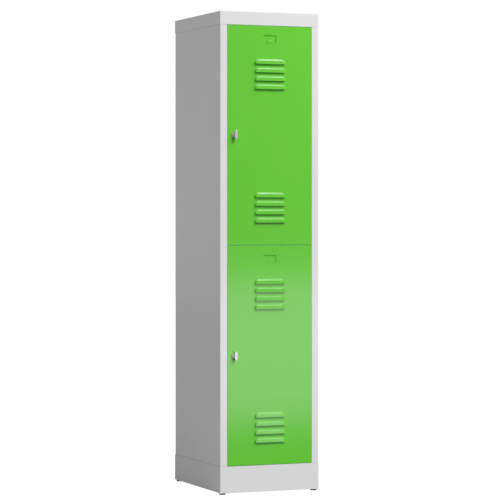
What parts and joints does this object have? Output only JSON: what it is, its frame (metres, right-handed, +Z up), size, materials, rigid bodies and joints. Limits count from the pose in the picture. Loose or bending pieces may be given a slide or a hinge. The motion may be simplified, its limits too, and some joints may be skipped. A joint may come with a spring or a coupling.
{
  "type": "steel staff locker",
  "caption": "Free-standing sheet-steel staff locker column with flush louvred doors hung one over the other, turn latches, coat rails and a plinth on feet.",
  "frame": {"origin": "on the floor, under the middle of the locker's overall box", "axes": "+Z up, -Y out of the doors to the front, +X to the hinge side, the right as seen from the front"},
  "size_m": [0.4, 0.5078, 1.8],
  "materials": {
    "body_paint": "light grey satin powder coat with a very fine texture",
    "door_paint": "bright green satin powder coat with a very fine texture",
    "latch_plating": "satin nickel plating",
    "zinc_steel": "dull zinc plating",
    "rail_steel": "drawn tube, bright zinc plating",
    "foot_plastic": "black moulded polypropylene",
    "buffer_rubber": "black soft rubber",
    "pale_plastic": "off-white moulded nylon"
  },
  "bodies": {
    "carcass": {"left_side_panel": "body_paint", "right_side_panel": "body_paint", "back_panel": "body_paint", "top_cap": "body_paint", "base_plinth": "body_paint", "middle_shelf": "body_paint", "floor_panel": "body_paint", "header_rail": "body_paint", "sill_rail": "body_paint", "front_left_foot": "foot_plastic", "front_right_foot": "foot_plastic", "back_left_foot": "foot_plastic", "back_right_foot": "foot_plastic", "upper_top_hinge_bracket": "zinc_steel", "upper_top_hinge_pin": "zinc_steel", "upper_bottom_hinge_bracket": "zinc_steel", "upper_bottom_hinge_pin": "zinc_steel", "lower_top_hinge_bracket": "zinc_steel", "lower_top_hinge_pin": "zinc_steel", "lower_bottom_hinge_bracket": "zinc_steel", "lower_bottom_hinge_pin": "zinc_steel", "upper_top_buffer": "buffer_rubber", "upper_bottom_buffer": "buffer_rubber", "lower_top_buffer": "buffer_rubber", "lower_bottom_buffer": "buffer_rubber", "upper_coat_rail": "rail_steel", "upper_left_rail_socket": "pale_plastic", "upper_right_rail_socket": "pale_plastic", "lower_coat_rail": "rail_steel", "lower_left_rail_socket": "pale_plastic", "lower_right_rail_socket": "pale_plastic"},
    "upper_door": {"upper_door": "door_paint", "upper_door_stiffener": "door_paint", "upper_latch_housing": "latch_plating", "upper_latch_nut": "zinc_steel", "upper_top_hinge_bush": "pale_plastic", "upper_bottom_hinge_bush": "pale_plastic"},
    "upper_latch": {"upper_turn_grip": "latch_plating", "upper_cam": "zinc_steel", "upper_cam_screw": "zinc_steel"},
    "upper_key": {"upper_key_plug": "latch_plating"},
    "upper_hook": {"upper_coat_hook": "pale_plastic"},
    "lower_door": {"lower_door": "door_paint", "lower_door_stiffener": "door_paint", "lower_latch_housing": "latch_plating", "lower_latch_nut": "zinc_steel", "lower_top_hinge_bush": "pale_plastic", "lower_bottom_hinge_bush": "pale_plastic"},
    "lower_latch": {"lower_turn_grip": "latch_plating", "lower_cam": "zinc_steel", "lower_cam_screw": "zinc_steel"},
    "lower_key": {"lower_key_plug": "latch_plating"},
    "lower_hook": {"lower_coat_hook": "pale_plastic"}
  },
  "joints": [
    {"name": "upper_door_hinge", "type": "hinge", "parent": "carcass", "child": "upper_door", "pos_m": [0.16, -0.23015, 1.3385], "axis": [0, 0, 1], "range_deg": [0, 110]},
    {"name": "lower_door_hinge", "type": "hinge", "parent": "carcass", "child": "lower_door", "pos_m": [0.16, -0.23015, 0.5165], "axis": [0, 0, 1], "range_deg": [0, 110]},
    {"name": "upper_latch_turn", "type": "hinge", "parent": "upper_door", "child": "upper_latch", "pos_m": [-0.142, -0.23495, 1.3385], "axis": [0, 1, 0], "range_deg": [0, 90]},
    {"name": "lower_latch_turn", "type": "hinge", "parent": "lower_door", "child": "lower_latch", "pos_m": [-0.142, -0.23495, 0.5165], "axis": [0, 1, 0], "range_deg": [0, 90]},
    {"name": "upper_key_turn", "type": "hinge", "parent": "upper_latch", "child": "upper_key", "pos_m": [-0.142, -0.24795, 1.3385], "axis": [0, 1, 0], "range_deg": [0, 90]},
    {"name": "lower_key_turn", "type": "hinge", "parent": "lower_latch", "child": "lower_key", "pos_m": [-0.142, -0.24795, 0.5165], "axis": [0, 1, 0], "range_deg": [0, 90]},
    {"name": "upper_hook_slide", "type": "slide", "parent": "carcass", "child": "upper_hook", "axis": [1, 0, 0], "range_m": [-0.178, 0.178]},
    {"name": "lower_hook_slide", "type": "slide", "parent": "carcass", "child": "lower_hook", "axis": [1, 0, 0], "range_m": [-0.178, 0.178]}
  ]
}
